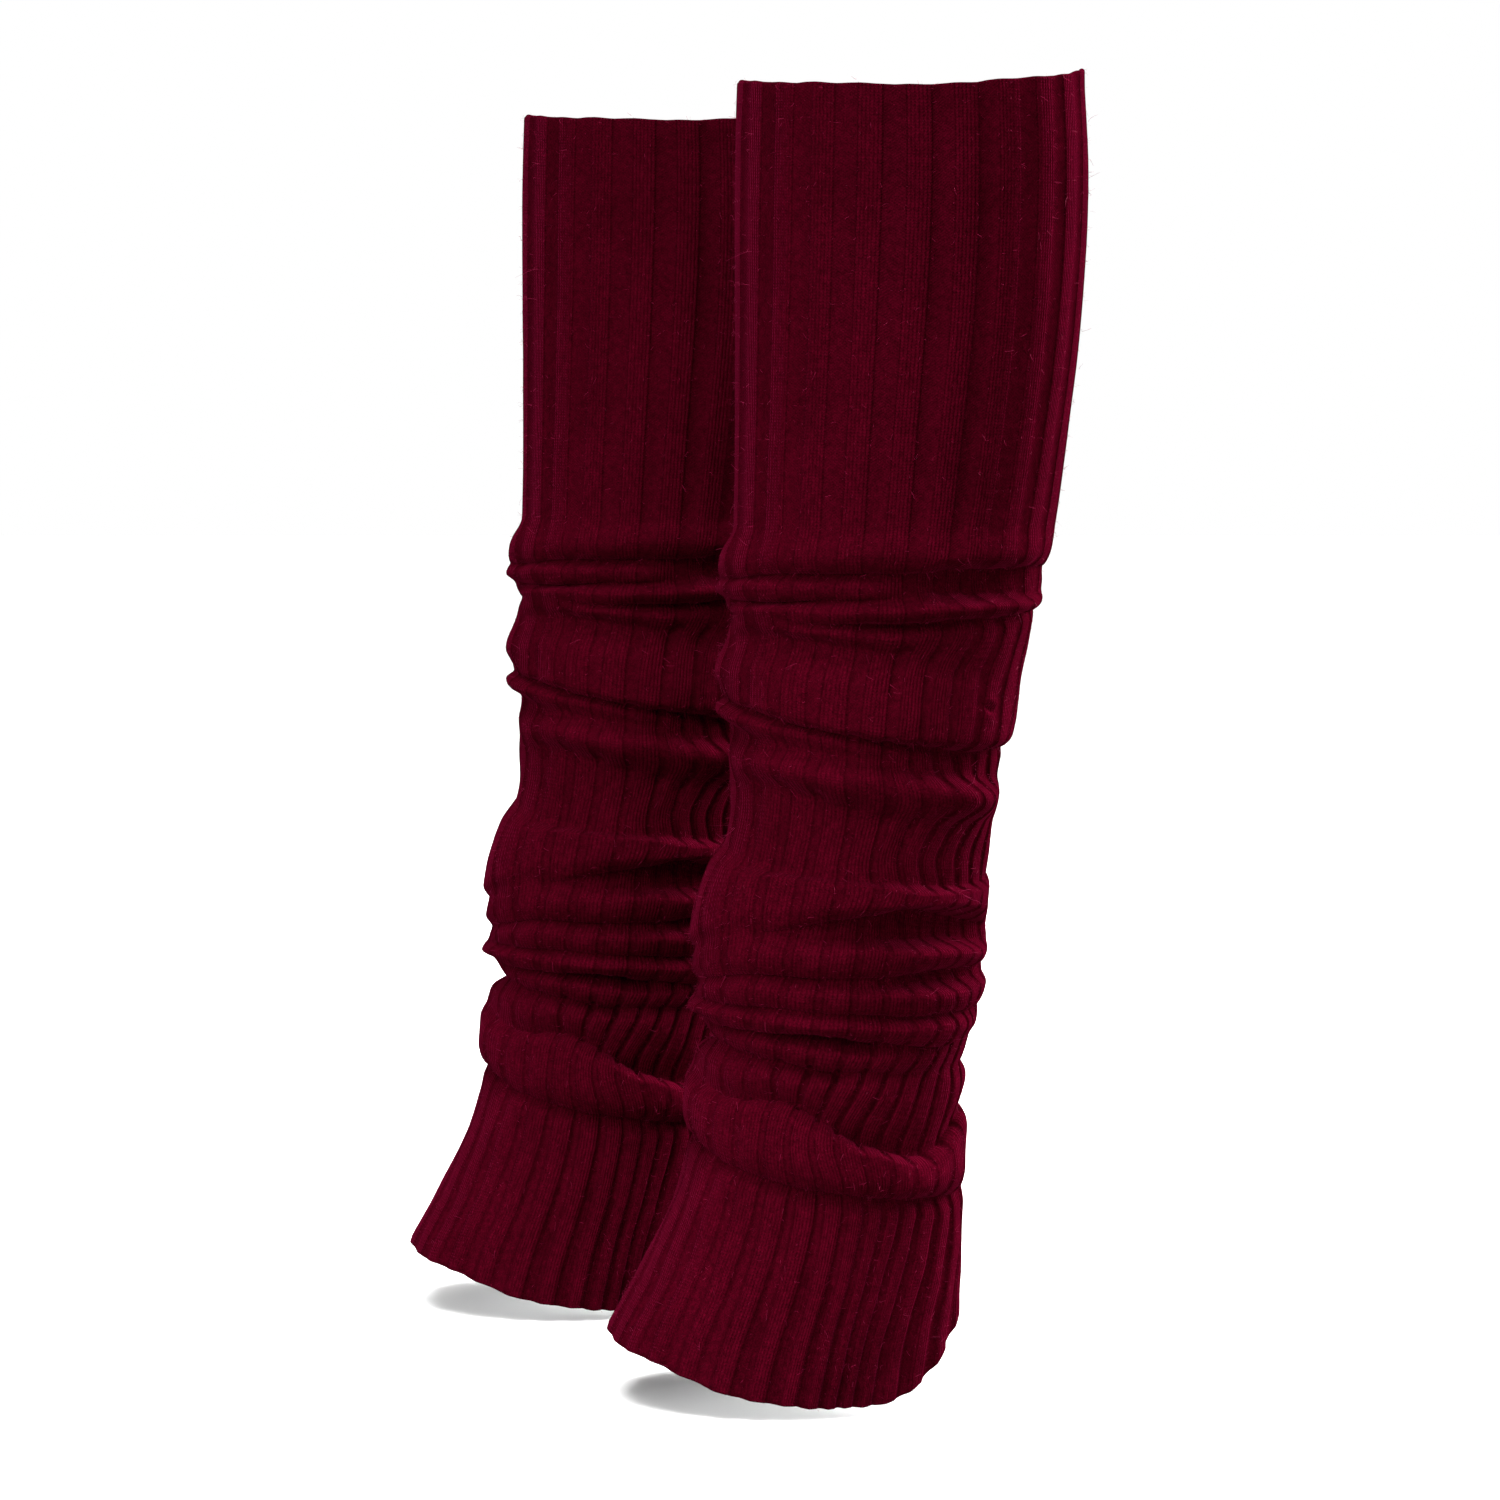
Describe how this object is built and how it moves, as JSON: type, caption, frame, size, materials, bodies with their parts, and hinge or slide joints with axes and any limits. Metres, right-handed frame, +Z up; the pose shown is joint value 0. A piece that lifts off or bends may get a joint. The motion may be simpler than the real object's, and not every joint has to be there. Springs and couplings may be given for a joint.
{
  "type": "pair of leg warmers",
  "caption": "Hollow wide rib knit leg warmers for a left and a right leg, smooth and stretched at the calf, pushed down into folds at the ankle and flared over heel and instep.",
  "frame": {"origin": "centre of the top opening of the left leg warmer, where the wearer's upper calf holds it", "axes": "+Z up the leg, -Y towards the toes, +X to the wearer's left"},
  "size_m": [0.2808, 0.242, 0.4451],
  "materials": {
    "rib_knit": "dark wine red wool-like rib knit with a soft short nap, matt"
  },
  "bodies": {
    "root": {"leg_warmer_left": "rib_knit", "leg_warmer_right": "rib_knit"}
  },
  "joints": []
}
